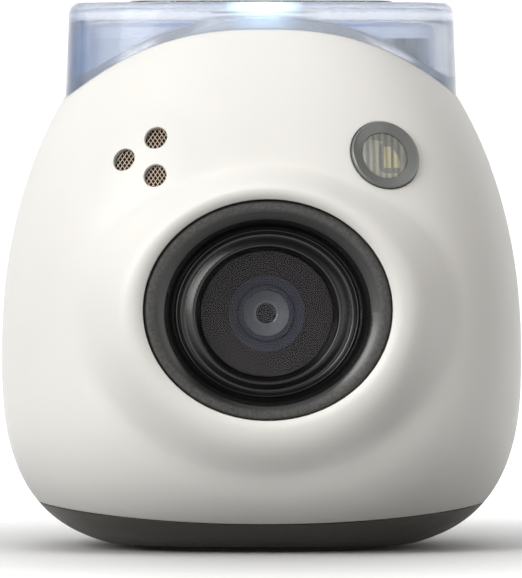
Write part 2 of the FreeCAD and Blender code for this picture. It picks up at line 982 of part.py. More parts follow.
lens_element("front_lens", "1.88", "14.1", "15.65", "3.4", "9.0")
node(
    "aperture_ring",
    turned(
        "ApertureRing",
        [
            ("0.42", "13.72"),
            ("1.88", "13.72"),
            ("1.88", "14.02"),
            ("0.9", "14.02"),
            ("0.62", "13.98"),
            ("0.42", "13.85"),
        ],
        lens_spot,
        FORWARD,
    ),
)
lens_element("rear_lens", "3.1", "10.2", "12.1", "9.0", "7.5")
node(
    "ir_filter",
    block("IrFilter", ("-3.4", "3.4"), ("-9.4", "-9.1"), ("lens_height - 3.4", "lens_height + 3.4")),
)
holder_rows = ("lens_height - 5.6", "lens_height + 5.6")
holder_block = block("HolderBlock", ("-5.6", "5.6"), ("-11.6", "-7.72"), holder_rows)
cavity_rows = ("lens_height - 3.6", "lens_height + 3.6")
holder_neck = rod("HolderNeck", 5.0, ("0", "-11", "lens_height"), 2.6, FORWARD)
node(
    "sensor_holder",
    cut(
        "SensorHolder",
        joined("HolderForm", [holder_block, holder_neck]),
        [
            rod("HolderBore", 3.95, ("0", "-9.9", "lens_height"), 6, FORWARD),
            block("HolderWindow", ("-2.9", "2.9"), ("-10", "-9"), ("lens_height - 2.9", "lens_height + 2.9")),
            block("HolderCavity", ("-3.6", "3.6"), ("-9.45", "-5"), cavity_rows),
        ],
    ),
)
node(
    "image_sensor",
    block("ImageSensor", ("-3.1", "3.1"), ("-8.5", "-7.72"), ("lens_height - 2.7", "lens_height + 2.7")),
)
node(
    "sensor_board",
    block("SensorBoard", ("-6.6", "6.6"), ("-7.7", "-6.9"), ("lens_height - 6.0", "lens_height + 6.4")),
)
FLEX = [("-6.86", "0"), ("-4.6", "0"), ("-2.0", "2.4"), ("0.0", "2.4")]
flex_low = []
for along, rise in FLEX:
    flex_low.append((along, rise))
flex_high = []
for along, rise in reversed(FLEX):
    flex_high.append((along, f"{rise} + 0.15"))
node(
    "sensor_flex",
    plate(
        "SensorFlex",
        flex_low + flex_high,
        "6",
        ("-3", "0", "lens_height - 3"),
        Rotation(Vector(1, 1, 1), 120),
    ),
)

# Flash, on its tilted seat; heights are measured outward from the surface
node(
    "flash_bezel",
    turned(
        "FlashBezel",
        [
            ("2.05", "-1.9"),
            ("flash_hole - 0.07", "-1.9"),
            ("flash_hole - 0.07", "0.02"),
            ("flash_hole - 0.16", "0.12"),
            ("2.66", "0.06"),
            ("1.98", "-0.15"),
            ("1.98", "-1.2"),
            ("2.05", "-1.2"),
        ],
        flash_seat,
    ),
)
node(
    "flash_window",
    turned(
        "FlashWindow",
        [
            ("0", "-0.85"),
            ("1.93", "-0.85"),
            ("1.93", "-0.2"),
            ("1.8", "-0.1"),
            ("0.9", "-0.02"),
            ("0", "0"),
        ],
        flash_seat,
    ),
)
# White well and two LEDs on an upright board behind the window, facing straight forward
core_x, core_z = "flash_core_x", "flash_core_z"
well = formed(
    "FlashWell",
    capped([[ring(1.0, 1.25, 4, 11.4), ring(2.3, 2.4, 4, 16.4)]]),
    Placement(Vector(val("flash_core_x"), 0, val("flash_core_z")), FORWARD),
)
well_block = block(
    "FlashTub",
    (f"{core_x} - 2.7", f"{core_x} + 1.95"),
    ("-18", "-flash_board_front - 0.03"),
    (f"{core_z} - 2.35", f"{core_z} + 1.85"),
)
well_limit = formed("FlashLimit", core(2.1, 20, 42))
node("flash_reflector", cut("FlashReflector", overlap("FlashWellForm", [well_block, well_limit]), [well]))
flash_dies = []
for hand, offset in (("Left", "-0.38"), ("Right", "0.38")):
    flash_dies.append(
        block(
            "FlashDie" + hand,
            (f"{core_x} + {offset} - 0.28", f"{core_x} + {offset} + 0.28"),
            ("-flash_board_front - 0.6", "-flash_board_front - 0.01"),
            (f"{core_z} - 0.85", f"{core_z} + 0.85"),
        )
    )
node("flash_leds", group("FlashLeds", flash_dies))
node(
    "flash_board",
    block(
        "FlashBoard",
        (f"{core_x} - 2.85", f"{core_x} + 2.05"),
        ("-flash_board_front", "-flash_board_front + board_thick"),
        (f"{core_z} - 2.35", f"{core_z} + 1.85"),
    ),
)

# Loudspeaker behind its three holes
mesh_outer = formed("MeshOuter", core(0.4, 20, 42))
mesh_inner = formed("MeshInner", core(0.6, 20, 42))
node(
    "speaker_mesh",
    overlap(
        "SpeakerMesh",
        [cut("MeshSheet", mesh_outer, [mesh_inner]), seated_rod("MeshRod", 4.2, speaker_seat, -7, 2)],
    ),
)
node(
    "speaker_gasket",
    turned(
        "SpeakerGasket",
        [("3.4", "-2.7"), ("4.3", "-2.7"), ("4.3", "-1.4"), ("3.4", "-1.3")],
        speaker_seat,
    ),
)
node(
    "speaker",
    turned(
        "Speaker",
        [
            ("0", "-5.4"),
            ("3.2", "-5.4"),
            ("3.2", "-4.2"),
            ("4.2", "-4.0"),
            ("4.2", "-2.75"),
            ("3.5", "-2.75"),
            ("3.0", "-3.1"),
            ("1.4", "-3.3"),
            ("0", "-2.9"),
        ],
        speaker_seat,
    ),
)

# Light-up top
cap_hollow = cut("CapHollow", cap_outside, [cap_inside])
cap_saddle = cut("CapSaddle", formed("CapDome", core(val("cap_seat") - 0.14, 8, 45)), [cap_core])
cap_floor = block("CapFloor", ("-30", "30"), ("-30", "30"), ("20", "cap_bottom + 0.2"))
node("light_cap", cut("LightCap", cap_hollow, [cap_saddle, cap_floor]))
plate_rings = []
for step in range(6):
    swing = math.pi / 2 * step / 5
    inward = 0.13 * (1 - math.cos(swing))
    plate_rings.append(
        ring(
            val("plate_half_width") - inward,
            val("plate_half_depth") - inward,
            3.2,
            val("cap_top") + 0.01 + (val("camera_top") - val("cap_top") - 0.01) * math.sin(swing),
        )
    )
node("top_plate", formed("TopPlate", capped([plate_rings])))
tray_low, tray_high = 34.05, val("tray_top")
outer_low, outer_high = cap_rings(-val("cap_wall") - 0.55, [tray_low, tray_high])
inner_low, inner_high = cap_rings(-val("cap_wall") - 1.75, [tray_low, tray_high])
tray = closed(
    [
        [outer_low, outer_high],
        [outer_high, inner_high],
        [inner_high, inner_low],
        [inner_low, outer_low],
    ]
)
node("light_tray", formed("LightTray", tray))
node(
    "light_board",
    formed("LightBoard", straight_prism(-val("cap_wall") - 1.95, 35.6, 36.4)),
)
leds = []
TOP_LEDS = [(-9, -4), (-9, 4), (-3, -5), (-3, 5), (3, -5), (3, 5), (9, -4), (9, 4)]
for index, (x, y) in enumerate(TOP_LEDS):
    leds.append(block(f"TopLed{index}", (x - 0.8, x + 0.8), (y - 0.8, y + 0.8), ("36.42", "37.1")))
node("light_leds", group("LightLeds", leds))
node(
    "light_diffuser",
    formed("LightDiffuser", straight_prism(-val("cap_wall") - 1.95, 39.6, 40.6)),
)
posts = []
for index, (x, y) in enumerate([(-10.2, 0), (10.2, 0)]):
    posts.append(rod(f"LightPost{index}", 1.0, (x, y, "shelf_high + 0.03"), 1.5))
node("light_posts", group("LightPosts", posts))

# Inner frame with its shelf
frame_wall = overlap(
    "FrameWall",
    [
        formed("FrameOutline", core(2.0, 7, 43)),
        block("FrameSlab", ("-30", "30"), ("frame_front + 0.03", "frame_back"), ("10.2", "shelf_high")),
    ],
)
frame_shelf = block("FrameShelf", ("-11.6", "11.6"), ("-7.6", "7.6"), ("shelf_low", "shelf_high"))
frame_holes = []
frame_screws = []
for level in ("upper", "lower"):
    for hand, sign in (("Left", "-"), ("Right", "")):
        tag = level.capitalize() + hand
        spot = (f"{sign}boss_{level}_x", "2", f"boss_{level}_z")
        frame_holes.append(rod("FrameHole" + tag, 0.85, spot, 3, BACKWARD))
        frame_screws.append(
            turned(
                "FrameScrew" + tag,
                screw_profile(1.35, 0.75, 0.7, 5.6),
                (f"{sign}boss_{level}_x", "frame_back + 0.78", f"boss_{level}_z"),
                FORWARD,
            )
        )
frame_window = block("FrameWindow", ("-4", "4"), ("0", "6"), ("27.5", "31"))
frame_form = joined("FrameForm", [frame_wall, frame_shelf])
node("inner_frame", cut("InnerFrame", frame_form, frame_holes + [frame_window]))
node("frame_screws", group("FrameScrews", frame_screws))

# Main board in front of the frame, battery behind it
node(
    "main_board",
    block(
        "MainBoard",
        ("-main_half_width", "main_half_width"),
        ("main_front", "main_front + board_thick"),
        ("main_low", "main_high"),
    ),
)
chips = []
CHIPS = [(-9.5, -3.5, 22, 28), (4.5, 10.5, 23, 28), (-10.5, -6.5, 13, 16.5), (7.0, 10.0, 13.5, 18)]
for index, (left, right, low, high) in enumerate(CHIPS):
    thick = ("main_front - 0.95", "main_front - 0.01")
    chips.append(block(f"Chip{index}", (left, right), thick, (low, high)))
node("board_chips", group("BoardChips", chips))
can = block("CanOutside", ("-4.5", "4.5"), ("main_front - 1.6", "main_front - 0.01"), ("11.4", "17.6"))
can_inside = block("CanInside", ("-4.3", "4.3"), ("main_front - 1.4", "5"), ("11.6", "17.4"))
node("shield_can", cut("ShieldCan", can, [can_inside]))
node(
    "flex_socket",
    block(
        "FlexSocket",
        ("-3.4", "3.4"),
        ("main_front - 0.9", "main_front - 0.01"),
        ("lens_height + 1.6", "lens_height + 3.4"),
    ),
)
battery_box = doc.addObject("PartDesign::Body", "Battery")
BATTERY_CORNERS = [("-12", "-8.2"), ("12", "-8.2"), ("12", "8.2"), ("-12", "8.2")]
battery_sketch = sketched(battery_box, "BatteryOutline", "XY_Plane", BATTERY_CORNERS)
battery_pad = battery_box.newObject("PartDesign::Pad", "BatteryPad")
battery_pad.Profile = battery_sketch
battery_pad.setExpression("Length", "5.4")
battery_box.Tip = battery_pad
doc.recompute()
battery_round = battery_box.newObject("PartDesign::Fillet", "BatteryRound")
long_edges = []
for index, edge in enumerate(battery_pad.Shape.Edges, start=1):
    run = edge.Vertexes[-1].Point - edge.Vertexes[0].Point
    if abs(run.z) < 0.01 and abs(run.y) > 1:
        long_edges.append(f"Edge{index}")
battery_round.Base = (battery_pad, long_edges)
battery_round.Radius = 1.6
battery_box.Tip = battery_round
place(battery_box, ("0", "frame_back + 0.1", "19.4"), BACKWARD)
node("battery", battery_box)
node(
    "battery_connector",
    block("BatteryConnector", ("5.4", "10.2"), ("frame_back + 0.04", "frame_back + 2.4"), ("28.6", "31.4")),
)

# Shutter release at the rear; heights are distances behind the middle plane
node(
    "shutter_ring",
    turned(
        "ShutterRing",
        [
            ("11.15", "17.6"),
            ("11.85", "17.6"),
            ("11.85", "19.85"),
            ("11.7", "20.0"),
            ("11.35", "20.0"),
            ("11.15", "19.8"),
        ],
        shutter_spot,
        BACKWARD,
    ),
)
button_body = turned(
    "ButtonForm",
    [
        ("0", "button_face"),
        ("4", "button_face - 0.05"),
        ("8", "button_face - 0.24"),
        ("10.2", "button_face - 0.45"),
        ("10.75", "button_face - 0.75"),
        ("button_radius", "button_face - 1.3"),
        ("button_radius", "17.5"),
        ("11.6", "17.5"),
        ("11.6", "16.7"),
        ("10.0", "16.7"),
        ("10.0", "19.4"),
        ("9.4", "19.9"),
        ("2.6", "20.0"),
        ("2.4", "20.0"),
        ("2.4", "15.9"),
        ("0", "15.9"),
    ],
    shutter_spot,
    BACKWARD,
)
node("shutter_button", button_body)
switch_case = block(
    "ShutterSwitchCase",
    ("-2.3", "2.3"),
    ("13.02", "14.3"),
    ("shutter_height - 2.3", "shutter_height + 2.3"),
)
switch_pin = rod("ShutterSwitchPin", 1.1, ("0", "14", "shutter_height"), 1.05, BACKWARD)
node("shutter_switch", joined("ShutterSwitch", [switch_case, switch_pin]))
shutter_disc = rod("ShutterDisc", 15.6, ("0", "12.2", "shutter_height"), 0.78, BACKWARD)
shutter_outline = formed("ShutterBoardLimit", core(2.3, 4.6, 36))
board_holes = []
for index, pilot in enumerate(board_pilots):
    spot = (pilot.Placement.Base.x, "11", pilot.Placement.Base.z)
    board_holes.append(rod(f"BoardHole{index}", 0.8, spot, 3, BACKWARD))
board_form = overlap("ShutterBoardForm", [shutter_disc, shutter_outline])
node("shutter_board", cut("ShutterBoard", board_form, board_holes))
board_screws = []
for index in range(3):
    swing = math.radians(90 + 120 * index)
    across = f"{13.6 * math.cos(swing):.3f}"
    upward = f"shutter_height + {13.6 * math.sin(swing):.3f}"
    board_screws.append(
        turned(
            f"BoardScrew{index}",
            screw_profile(1.2, 0.6, 0.6, 3.9),
            (across, "12.18 - 0.62", upward),
            BACKWARD,
        )
    )
node("board_screws", group("BoardScrews", board_screws))
coil = Part.makeHelix(1.0, 5.0, 4.0)
wire = Part.Wire(Part.makeCircle(0.2, Vector(4.0, 0, 0), Vector(0, 1, 0)))
spring_shape = Part.Wire(coil).makePipeShell([wire], True, True)
node(
    "shutter_spring",
    formed("ShutterSpring", spring_shape, Placement(Vector(0, 13.3, val("shutter_height")), BACKWARD)),
)

doc.recompute()

for obj in doc.Objects:
    if "Invalid" in obj.State or "Error" in obj.State:
        raise RuntimeError(f"{obj.Name} did not build: {obj.State}")
for name, obj in NODES.items():
    shape = obj.Shape
    if shape.isNull() or not shape.isValid() or shape.Volume <= 0:
        raise RuntimeError(f"{name} is not a valid solid")
for name, obj in NODES.items():
    obj.Shape.exportStep(f"parts/{name}.step")
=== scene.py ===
import math

import bpy
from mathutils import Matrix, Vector

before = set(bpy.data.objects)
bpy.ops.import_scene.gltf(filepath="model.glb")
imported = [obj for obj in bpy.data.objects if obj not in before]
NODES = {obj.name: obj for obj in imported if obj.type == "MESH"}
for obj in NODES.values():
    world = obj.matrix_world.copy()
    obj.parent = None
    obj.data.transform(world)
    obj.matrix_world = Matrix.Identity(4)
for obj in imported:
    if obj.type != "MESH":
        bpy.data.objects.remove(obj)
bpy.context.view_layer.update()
MM = 0.001

# Where the front group stands, in millimetres
LENS_HEIGHT = 19.3
BEZEL_HEIGHT = 19.66
BEZEL_HALF_SIZE = (9.88, 8.75)

# Studio, in metres
FLOOR_LEVEL = -0.00005  # a hair under the foot, so that the two faces don't coincide
FLOOR_REACH = 4
FLOOR_FRONT = -3
WALL_BEHIND = 3
WALL_TOP = 4
MIDDLE = (0, 0, 0.022)
CAMERA_SPOT = (-0.0236, -0.9, 0.040)
CAMERA_AIM = (0.0, 0.0, 0.0209)
CAMERA_LENS_MM = 688
SENSOR_WIDTH_MM = 36


# Material helpers


class Shader:
    """A node material; every pattern is laid out in millimetres of the object itself."""

    def __init__(self, name):
        self.material = bpy.data.materials.new(name)
        self.material.use_nodes = True
        self.tree = self.material.node_tree
        self.tree.nodes.clear()
        self.out = self.add("OutputMaterial")
        self.body = self.add("BsdfPrincipled")
        self.link(self.body.outputs[0], self.out.inputs[0])
        self.place = self.add("TexCoord").outputs["Object"]

    def add(self, kind, **settings):
        node = self.tree.nodes.new("ShaderNode" + kind)
        for key, value in settings.items():
            setattr(node, key, value)
        return node

    def link(self, source, target):
        self.tree.links.new(source, target)

    def set(self, **values):
        for key, value in values.items():
            self.body.inputs[key.replace("_", " ")].default_value = value
        return self

    def mapped(self, scale=(1, 1, 1), turn=(0, 0, 0)):
        mapping = self.add("Mapping")
        mapping.inputs["Scale"].default_value = [1000 * s for s in scale]
        mapping.inputs["Rotation"].default_value = turn
        self.link(self.place, mapping.inputs["Vector"])
        return mapping.outputs[0]

    def noise(self, scale, detail=3.0, stretch=(1, 1, 1)):
        texture = self.add("TexNoise")
        texture.inputs["Scale"].default_value = scale
        texture.inputs["Detail"].default_value = detail
        self.link(self.mapped(stretch), texture.inputs["Vector"])
        return texture.outputs["Fac"]

    def ramp(self, source, stops):
        ramp = self.add("ValToRGB")
        while len(ramp.color_ramp.elements) < len(stops):
            ramp.color_ramp.elements.new(0.5)
        for element, (spot, color) in zip(ramp.color_ramp.elements, stops):
            element.position = spot
            element.color = (*color, 1) if len(color) == 3 else color
        self.link(source, ramp.inputs[0])
        return ramp.outputs[0]

    def range(self, source, low, high, start=0.0, end=1.0):
        node = self.add("MapRange")
        node.inputs["From Min"].default_value = start
        node.inputs["From Max"].default_value = end
        node.inputs["To Min"].default_value = low
        node.inputs["To Max"].default_value = high
        self.link(source, node.inputs["Value"])
        return node.outputs[0]

    def math(self, operation, first, second=0.5):
        node = self.add("Math", operation=operation)
        for socket, value in zip(node.inputs, (first, second)):
            if isinstance(value, (int, float)):
                socket.default_value = value
            else:
                self.link(value, socket)
        return node.outputs[0]

    def axis(self, letter):
        split = self.add("SeparateXYZ")
        self.link(self.mapped(), split.inputs[0])
        return split.outputs[letter]

    def blend(self, share, first, second):
        mix = self.add("Mix", data_type="RGBA")
        self.link(share, mix.inputs[0])
        self.link(first, mix.inputs[6])
        self.link(second, mix.inputs[7])
        return mix.outputs[2]

    def round_about(self, x, z, half_x, half_z):
        """Distance from a front-facing axis, 1 on the given ellipse."""
        across = self.math("DIVIDE", self.math("SUBTRACT", self.axis("X"), x), half_x)
        upward = self.math("DIVIDE", self.math("SUBTRACT", self.axis("Z"), z), half_z)
        squares = self.math("ADD", self.math("POWER", across, 2), self.math("POWER", upward, 2))
        return self.math("SQRT", squares)

    def color(self, source):
        self.link(source, self.body.inputs["Base Color"])

    def rough(self, source):
        self.link(source, self.body.inputs["Roughness"])

    def bump(self, source, height_mm, edge_mm=0.0):
        bump = self.add("Bump")
        bump.inputs["Distance"].default_value = height_mm * MM
        self.link(source, bump.inputs["Height"])
        if edge_mm:
            edge = self.add("Bevel", samples=4)
            edge.inputs["Radius"].default_value = edge_mm * MM
            self.link(edge.outputs[0], bump.inputs["Normal"])
        self.link(bump.outputs[0], self.body.inputs["Normal"])


def shade(color, amount):
    return tuple(max(0.0, min(1.0, c * amount)) for c in color)


def moulded(name, color, rough, grain=0.6, height=0.01, spread=0.04, edge=0.0, **values):
    """Moulded plastic: fine grain, faint mottling and uneven gloss."""
    s = Shader(name).set(**values)
    mottle = s.noise(0.12, 2.0)
    s.color(s.ramp(mottle, [(0.3, shade(color, 1 - spread)), (0.7, shade(color, 1 + spread))]))
    s.rough(s.range(s.noise(0.5, 4.0), rough * 0.9, rough * 1.1, 0.3, 0.7))
    s.bump(s.noise(1 / grain, 4.0), height, edge)
    return s


def metal(name, color, rough, stretch=(1, 1, 1), height=0.002, **values):
    """Metal with drawing or turning marks."""
    s = Shader(name).set(Metallic=1.0, **values)
    marks = s.noise(3.0, 5.0, stretch)
    s.color(s.ramp(marks, [(0.3, shade(color, 0.85)), (0.7, shade(color, 1.08))]))
    s.rough(s.range(marks, rough * 0.75, rough * 1.3, 0.3, 0.7))
    s.bump(marks, height)
    return s


def board(name):
    """Solder mask over faint tracks."""
    s = Shader(name)
    tracks = s.add("TexBrick")
    tracks.inputs["Scale"].default_value = 0.9
    tracks.inputs["Color1"].default_value = (0.008, 0.05, 0.035, 1)
    tracks.inputs["Color2"].default_value = (0.010, 0.065, 0.045, 1)
    tracks.inputs["Mortar"].default_value = (0.025, 0.12, 0.075, 1)
    tracks.inputs["Mortar Size"].default_value = 0.05
    s.link(s.mapped((1, 1, 1), (math.radians(90), 0, 0)), tracks.inputs["Vector"])
    s.color(tracks.outputs["Color"])
    s.rough(s.range(s.noise(1.0), 0.3, 0.45))
    s.bump(tracks.outputs["Fac"], 0.02)
    return s


def glassy(name, tint, rough, ior, **values):
    """Clear moulding or glass with very slight flow marks."""
    s = Shader(name).set(Transmission_Weight=1.0, IOR=ior, **values)
    s.color(s.ramp(s.noise(0.3, 1.0), [(0.3, tint), (0.7, shade(tint, 1.03))]))
    s.rough(s.range(s.noise(0.8, 2.0), rough * 0.7, rough * 1.3 + 0.002, 0.3, 0.7))
    s.bump(s.noise(0.4, 1.0), 0.002)
    return s


def pane(name, tint, rough, cover, **values):
    """Flat coated glass: tinted film that mostly lets the parts behind show."""
    s = Shader(name).set(**values)
    s.color(s.ramp(s.noise(0.3, 1.0), [(0.3, shade(tint, 0.9)), (0.7, shade(tint, 1.1))]))
    s.rough(s.range(s.noise(0.8, 2.0), rough, rough * 1.5, 0.3, 0.7))
    s.link(s.range(s.noise(0.2, 1.0), cover * 0.97, cover * 1.03, 0.3, 0.7), s.body.inputs["Alpha"])
    return s


def glowing(s, color, strength):
    """Adds a steady glow."""
    s.body.inputs["Emission Color"].default_value = (*color, 1)
    s.body.inputs["Emission Strength"].default_value = strength
    return s


# Materials with a pattern of their own, some with painted light


def shell_white():
    """Satin white of the two casing halves."""
    s = moulded("ShellWhite", (0.80, 0.785, 0.755), 0.42, grain=0.35, height=0.004, spread=0.006, edge=0.18)
    s.set(Specular_IOR_Level=0.45, Subsurface_Weight=0.08, Subsurface_Scale=0.003)
    s.body.inputs["Subsurface Radius"].default_value = (1.0, 0.85, 0.7)
    return s


def bezel_black():
    """Deep black bowl with a speckled, duller band round its rim."""
    s = moulded("BezelBlack", (0.009, 0.009, 0.009), 0.3, grain=0.16, height=0.006, spread=0.12)
    s.set(Specular_IOR_Level=0.55)
    rim = s.range(s.round_about(0, BEZEL_HEIGHT, *BEZEL_HALF_SIZE), 0.0, 1.0, 0.895, 0.93)
    speckle = s.ramp(s.noise(4.0, 4.0), [(0.35, (0.030, 0.030, 0.028)), (0.65, (0.066, 0.065, 0.061))])
    deep = s.ramp(s.noise(0.3), [(0.3, (0.003, 0.003, 0.003)), (0.7, (0.006, 0.006, 0.006))])
    s.color(s.blend(rim, deep, speckle))
    s.rough(s.range(rim, 0.27, 0.55))
    return s


def tray_white():
    """White inner wall of the top, with one streaky painted shadow near its right end."""
    s = moulded("DiffuserWhite", (0.82, 0.86, 0.92), 0.45, spread=0.01)
    # Painted shadow: a streaky dark band painted on the white tray between x 9.4 and 13 mm
    shadow_left_fade = s.range(s.axis("X"), 0.0, 1.0, 9.4, 10.6)
    shadow_right_fade = s.range(s.axis("X"), 1.0, 0.0, 12.2, 13.0)
    shadow_streaks = s.range(s.noise(0.5, 3.0, (1, 1, 0.3)), 0.2, 1.0, 0.3, 0.6)
    painted_shadow = s.math("MULTIPLY", s.math("MULTIPLY", shadow_left_fade, shadow_right_fade), shadow_streaks)
    white = s.ramp(s.noise(0.2), [(0.3, (0.74, 0.78, 0.84)), (0.7, (0.82, 0.86, 0.92))])
    shadow_tone = s.ramp(s.noise(0.6), [(0.3, (0.02, 0.022, 0.025)), (0.7, (0.08, 0.085, 0.095))])
    s.color(s.blend(painted_shadow, white, shadow_tone))
    return s


def cone_satin():
    """Satin cone of the lens ring; its outer flat is blue-grey like the barrel."""
    s = metal("ConeSatin", (0.30, 0.33, 0.38), 0.3)
    outer = s.range(s.round_about(0, LENS_HEIGHT, 1, 1), 0.0, 1.0, 1.76, 1.82)
    flat = s.ramp(s.noise(4.0, 4.0), [(0.3, (0.036, 0.047, 0.09)), (0.7, (0.060, 0.076, 0.135))])
    satin = s.ramp(s.noise(2.0), [(0.3, (0.40, 0.44, 0.50)), (0.7, (0.50, 0.54, 0.60))])
    s.color(s.blend(outer, satin, flat))
    s.rough(s.range(outer, 0.22, 0.6))
    s.link(s.range(outer, 0.25, 0.0), s.body.inputs["Metallic"])
    return s


def clear_top():
    """Frosted clear block with painted light: a painted deep-blue reflection at its left edge, a painted
    white glow at the middle of its top.
    """
    s = glassy("ClearTop", (0.80, 0.90, 1.0), 0.16, 1.30)
    s.set(Transmission_Weight=0.80)
    # Painted reflection: the block's left edge is painted in the deep blue below
    painted_edge_reflection = s.range(s.axis("X"), 1.0, 0.0, -15.6, -14.2)
    pale = s.ramp(s.noise(0.3), [(0.3, (0.72, 0.77, 0.87)), (0.7, (0.79, 0.83, 0.90))])
    deep = s.ramp(s.noise(0.4), [(0.3, (0.03, 0.09, 0.26)), (0.7, (0.07, 0.14, 0.33))])
    s.color(s.blend(painted_edge_reflection, pale, deep))
    # Painted glow: emission over the middle of the block's top, standing in for the LED light inside
    painted_glow_across = s.range(s.math("ABSOLUTE", s.axis("X")), 0.9, 0.0, 0.6, 3.2)
    painted_glow_height = s.range(s.axis("Z"), 0.0, 1.0, 42.9, 43.6)
    s.link(s.math("MULTIPLY", painted_glow_across, painted_glow_height), s.body.inputs["Emission Strength"])
    s.body.inputs["Emission Color"].default_value = (0.55, 0.82, 1.0, 1)
    return s


def flash_lens():
    """Frosted window with upright ribs, clearer between them."""
    s = pane("FlashLens", (0.45, 0.45, 0.43), 0.2, 0.5, Specular_IOR_Level=0.6)
    ribs = s.add("TexWave", wave_type="BANDS", bands_direction="X")
    ribs.inputs["Scale"].default_value = 0.62
    ribs.inputs["Distortion"].default_value = 1.5
    s.link(s.mapped((1, 1, 0.12)), ribs.inputs["Vector"])
    s.color(s.ramp(ribs.outputs["Fac"], [(0.1, (0.30, 0.30, 0.285)), (0.9, (0.60, 0.60, 0.56))]))
    s.link(s.range(ribs.outputs["Fac"], 0.50, 0.30), s.body.inputs["Alpha"])
    s.bump(ribs.outputs["Fac"], 0.035)
    return s


def mesh_bronze():
    """Two sets of slanting strands woven across each other."""
    s = Shader("MeshBronze").set(Metallic=0.7, Roughness=0.4)
    strands = []
    for turn in (35, -35):
        wave = s.add("TexWave", wave_type="BANDS", bands_direction="X")
        wave.inputs["Scale"].default_value = 1.1
        s.link(s.mapped((1, 1, 1), (0, math.radians(turn), 0)), wave.inputs["Vector"])
        strands.append(wave.outputs["Fac"])
    crossing = s.math("MAXIMUM", *strands)
    s.color(s.ramp(crossing, [(0.78, (0.008, 0.006, 0.005)), (0.97, (0.50, 0.40, 0.32))]))
    s.bump(crossing, 0.12)
    return s


# Materials, one for each kind of surface

shell = shell_white()
button = moulded("ButtonWhite", (0.79, 0.78, 0.755), 0.4, grain=0.35, height=0.004, spread=0.006, edge=0.1)
base = moulded("BaseDark", (0.058, 0.048, 0.040), 0.4, grain=0.3, height=0.004, spread=0.05, edge=0.12)
foot = moulded("FootDark", (0.040, 0.036, 0.033), 0.7, grain=0.2, height=0.01, spread=0.1, edge=0.1)
bezel = bezel_black()
black = moulded("BlackPlastic", (0.012, 0.012, 0.013), 0.4, grain=0.2, height=0.006, spread=0.1, edge=0.08)
mask = moulded("MaskPlum", (0.026, 0.018, 0.023), 0.45, grain=0.5, height=0.0005, spread=0.04)
mask.set(Specular_IOR_Level=0.2)
barrel = moulded("BarrelBlue", (0.050, 0.064, 0.125), 0.5, grain=0.12, height=0.008, spread=0.3)
frame_grey = moulded("FrameGrey", (0.10, 0.105, 0.11), 0.5, edge=0.1)
gasket = moulded("GasketFoam", (0.015, 0.015, 0.015), 0.9, grain=0.15, height=0.05, spread=0.3)
tray = tray_white()
ring_grey = moulded("RingGrey", (0.30, 0.29, 0.275), 0.35, grain=0.3, height=0.003, spread=0.02, edge=0.08)
chip = moulded("ChipBlack", (0.02, 0.02, 0.022), 0.45, edge=0.05)
sensor = moulded("SensorFace", (0.03, 0.05, 0.07), 0.12, spread=0.3)
flex = moulded("FlexAmber", (0.42, 0.17, 0.03), 0.3)
flash_rim = moulded("FlashRim", (0.16, 0.165, 0.16), 0.25, grain=0.3, height=0.002, spread=0.05)
pcb = board("BoardGreen")
mesh = mesh_bronze()

battery = metal("BatteryFoil", (0.62, 0.63, 0.65), 0.35, (1, 1, 0.3), 0.02)
steel = metal("SteelStamped", (0.55, 0.55, 0.56), 0.3, (1, 1, 0.15))
screws = metal("ScrewSteel", (0.42, 0.42, 0.44), 0.3)
spring = metal("SpringSteel", (0.55, 0.55, 0.57), 0.22, (1, 0.2, 1))
brass = metal("BrassTurned", (0.62, 0.43, 0.18), 0.28, (0.2, 0.2, 2))
silver = metal("RingSilver", (0.60, 0.61, 0.60), 0.2)
cone = cone_satin()

eye = pane("EyeGlass", (0.010, 0.022, 0.030), 0.02, 0.45, Specular_IOR_Level=0.8)
cover = pane("CoverGlass", (0.012, 0.009, 0.012), 0.02, 0.30, Specular_IOR_Level=0.5)
element = glassy("ElementGlass", (0.80, 0.92, 0.95), 0.0, 1.6, Coat_Weight=0.3)
clear = clear_top()
top_plate = glassy("TopPlateFrosted", (0.78, 0.87, 0.98), 0.25, 1.45)
lens = flash_lens()

# Painted glow: the flash reflector is given a faint white emission of its own
cup_painted_glow = glowing(
    moulded("FlashCupPaintedGlow", (0.80, 0.80, 0.79), 0.35, grain=0.3, height=0.003, spread=0.03),
    (1.0, 0.98, 0.94),
    0.12,
)
led_blue = glowing(moulded("LedBlue", (0.5, 0.7, 1.0), 0.3), (0.35, 0.6, 1.0), 30.0)
# Painted glow: the flash LED dies are given a faint yellow emission of their own
led_yellow_painted_glow = glowing(moulded("LedYellowPaintedGlow", (0.85, 0.76, 0.38), 0.4), (0.9, 0.8, 0.3), 0.35)
# Painted glow: the blue diffuser is given its own emission on top of the light from the LEDs
diffuser_painted_glow = glowing(moulded("DiffuserBlue", (0.70, 0.80, 0.95), 0.45, spread=0.02), (0.16, 0.36, 0.95), 0.55)

